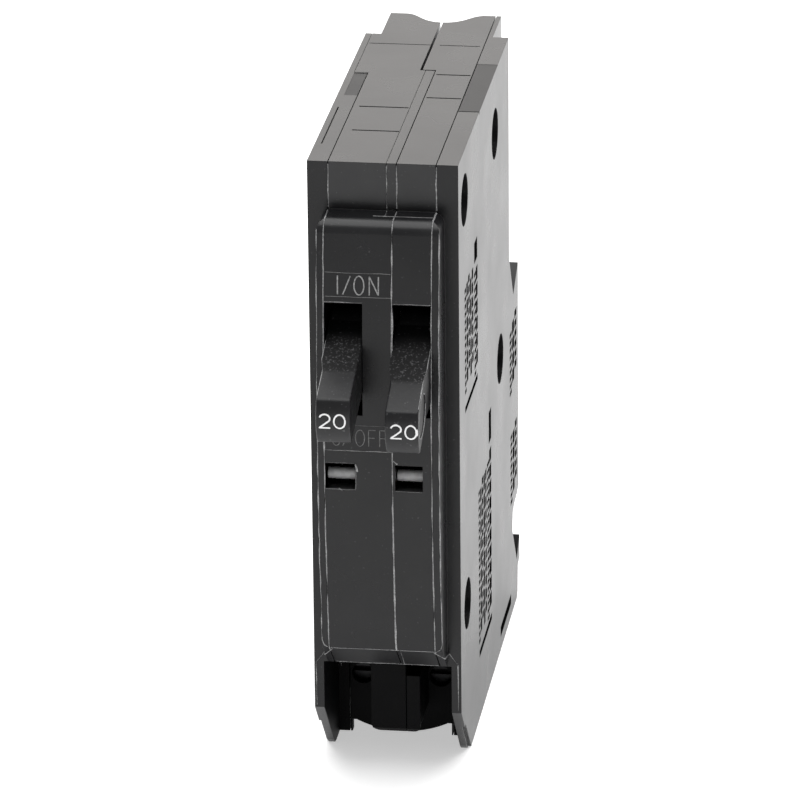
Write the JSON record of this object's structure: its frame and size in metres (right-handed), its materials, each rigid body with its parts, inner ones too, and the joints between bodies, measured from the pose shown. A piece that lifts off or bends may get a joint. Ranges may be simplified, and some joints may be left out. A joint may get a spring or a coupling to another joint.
{
  "type": "tandem circuit breaker",
  "caption": "Narrow plug-on tandem circuit breaker with side-by-side toggle handles, trip windows, a rear stab clip and clamp terminals at the load end.",
  "frame": {"origin": "middle of the bounding box at the resting face", "axes": "+X to the right seen from the front, -Y the front with the handles, +Z the line end"},
  "size_m": [0.0184, 0.0776, 0.08],
  "materials": {
    "case_black": "moulded thermoset, satin",
    "handle_black": "moulded nylon",
    "steel": "zinc plated",
    "dark_steel": "blackened",
    "copper": "bare copper",
    "silver": "silver alloy contact",
    "bimetal": "rolled thermostatic strip",
    "flag_orange": "dyed plastic",
    "indicator_grey": "light grey plastic",
    "lug_metal": "tin plated"
  },
  "bodies": {
    "case": {"cover_left": "case_black", "body_left": "case_black", "center_partition": "case_black", "body_right": "case_black", "cover_right": "case_black", "case_rivets": "dark_steel", "line_bus": "copper", "line_jaw": "copper", "jaw_spring": "steel", "fixed_contact_left": "silver", "pivot_pins_left": "steel", "yoke_left": "steel", "braid_left": "copper", "arc_plates_left": "steel", "load_strap_left": "copper", "wire_lug_left": "lug_metal", "calibration_screw_left": "steel", "toggle_spring_left": "steel", "fixed_contact_right": "silver", "pivot_pins_right": "steel", "yoke_right": "steel", "braid_right": "copper", "arc_plates_right": "steel", "load_strap_right": "copper", "wire_lug_right": "lug_metal", "calibration_screw_right": "steel", "toggle_spring_right": "steel"},
    "handle_left": {"handle_left": "handle_black", "arm_pin_left": "steel"},
    "arm_left": {"contact_arm_left": "copper", "moving_contact_left": "silver"},
    "trip_left": {"trip_lever_left": "steel"},
    "flag_left": {"flag_lever_left": "handle_black", "window_bar_left": "indicator_grey", "trip_flag_left": "flag_orange"},
    "latch_left": {"bimetal_left": "bimetal", "armature_left": "steel"},
    "pad_left": {"screw_pad_left": "steel"},
    "screw_left": {"terminal_screw_left": "dark_steel"},
    "handle_right": {"handle_right": "handle_black", "arm_pin_right": "steel"},
    "arm_right": {"contact_arm_right": "copper", "moving_contact_right": "silver"},
    "trip_right": {"trip_lever_right": "steel"},
    "flag_right": {"flag_lever_right": "handle_black", "window_bar_right": "indicator_grey", "trip_flag_right": "flag_orange"},
    "latch_right": {"bimetal_right": "bimetal", "armature_right": "steel"},
    "pad_right": {"screw_pad_right": "steel"},
    "screw_right": {"terminal_screw_right": "dark_steel"}
  },
  "joints": [
    {"name": "handle_left_swing", "type": "hinge", "parent": "case", "child": "handle_left", "pos_m": [-0.0046, -0.02139, 0.058], "axis": [-1, 0, 0], "range_deg": [-2.5, 37.5]},
    {"name": "contact_arm_left_swing", "type": "hinge", "parent": "handle_left", "child": "arm_left", "pos_m": [-0.0046, -0.01481, 0.06039], "axis": [1, 0, 0], "range_deg": [-4.29, 62.95], "deforming": ["toggle_spring_left"]},
    {"name": "trip_left_swing", "type": "hinge", "parent": "case", "child": "trip_left", "pos_m": [-0.00325, -0.00239, 0.042], "axis": [1, 0, 0], "range_deg": [0, 18], "deforming": ["toggle_spring_left"]},
    {"name": "flag_left_swing", "type": "hinge", "parent": "case", "child": "flag_left", "pos_m": [-0.0046, -0.01339, 0.038], "axis": [-1, 0, 0], "range_deg": [0, 14.5]},
    {"name": "latch_left_bend", "type": "hinge", "parent": "case", "child": "latch_left", "pos_m": [-0.0046, 0.02861, 0.018], "axis": [-1, 0, 0], "range_deg": [0, 3.2], "stiffness_Nm_per_rad": 0.05},
    {"name": "pad_left_slide", "type": "slide", "parent": "case", "child": "pad_left", "axis": [0, 1, 0], "range_m": [0, 0.004]},
    {"name": "screw_left_turn", "type": "hinge", "parent": "pad_left", "child": "screw_left", "pos_m": [-0.0049, -0.00839, 0.008], "axis": [0, 1, 0], "range_deg": [0, 2058]},
    {"name": "handle_right_swing", "type": "hinge", "parent": "case", "child": "handle_right", "pos_m": [0.0046, -0.02139, 0.058], "axis": [-1, 0, 0], "range_deg": [0, 42.2]},
    {"name": "contact_arm_right_swing", "type": "hinge", "parent": "handle_right", "child": "arm_right", "pos_m": [0.0046, -0.01503, 0.06092], "axis": [1, 0, 0], "range_deg": [0, 70.83], "deforming": ["toggle_spring_right"]},
    {"name": "trip_right_swing", "type": "hinge", "parent": "case", "child": "trip_right", "pos_m": [0.00325, -0.00239, 0.042], "axis": [1, 0, 0], "range_deg": [0, 18], "deforming": ["toggle_spring_right"]},
    {"name": "flag_right_swing", "type": "hinge", "parent": "case", "child": "flag_right", "pos_m": [0.0046, -0.01339, 0.038], "axis": [-1, 0, 0], "range_deg": [0, 14.5]},
    {"name": "latch_right_bend", "type": "hinge", "parent": "case", "child": "latch_right", "pos_m": [0.0046, 0.02861, 0.018], "axis": [-1, 0, 0], "range_deg": [0, 3.2], "stiffness_Nm_per_rad": 0.05},
    {"name": "pad_right_slide", "type": "slide", "parent": "case", "child": "pad_right", "axis": [0, 1, 0], "range_m": [0, 0.004]},
    {"name": "screw_right_turn", "type": "hinge", "parent": "pad_right", "child": "screw_right", "pos_m": [0.0049, -0.00839, 0.008], "axis": [0, 1, 0], "range_deg": [0, 2058]}
  ],
  "couplings": [
    {"joint": "contact_arm_left_swing", "follows": "handle_left_swing", "ratio": 1.676},
    {"joint": "flag_left_swing", "follows": "trip_left_swing", "ratio": 0.8},
    {"joint": "screw_left_turn", "follows": "pad_left_slide", "rad_per_m": 8976},
    {"joint": "contact_arm_right_swing", "follows": "handle_right_swing", "ratio": 1.676},
    {"joint": "flag_right_swing", "follows": "trip_right_swing", "ratio": 0.8},
    {"joint": "screw_right_turn", "follows": "pad_right_slide", "rad_per_m": 8976}
  ]
}
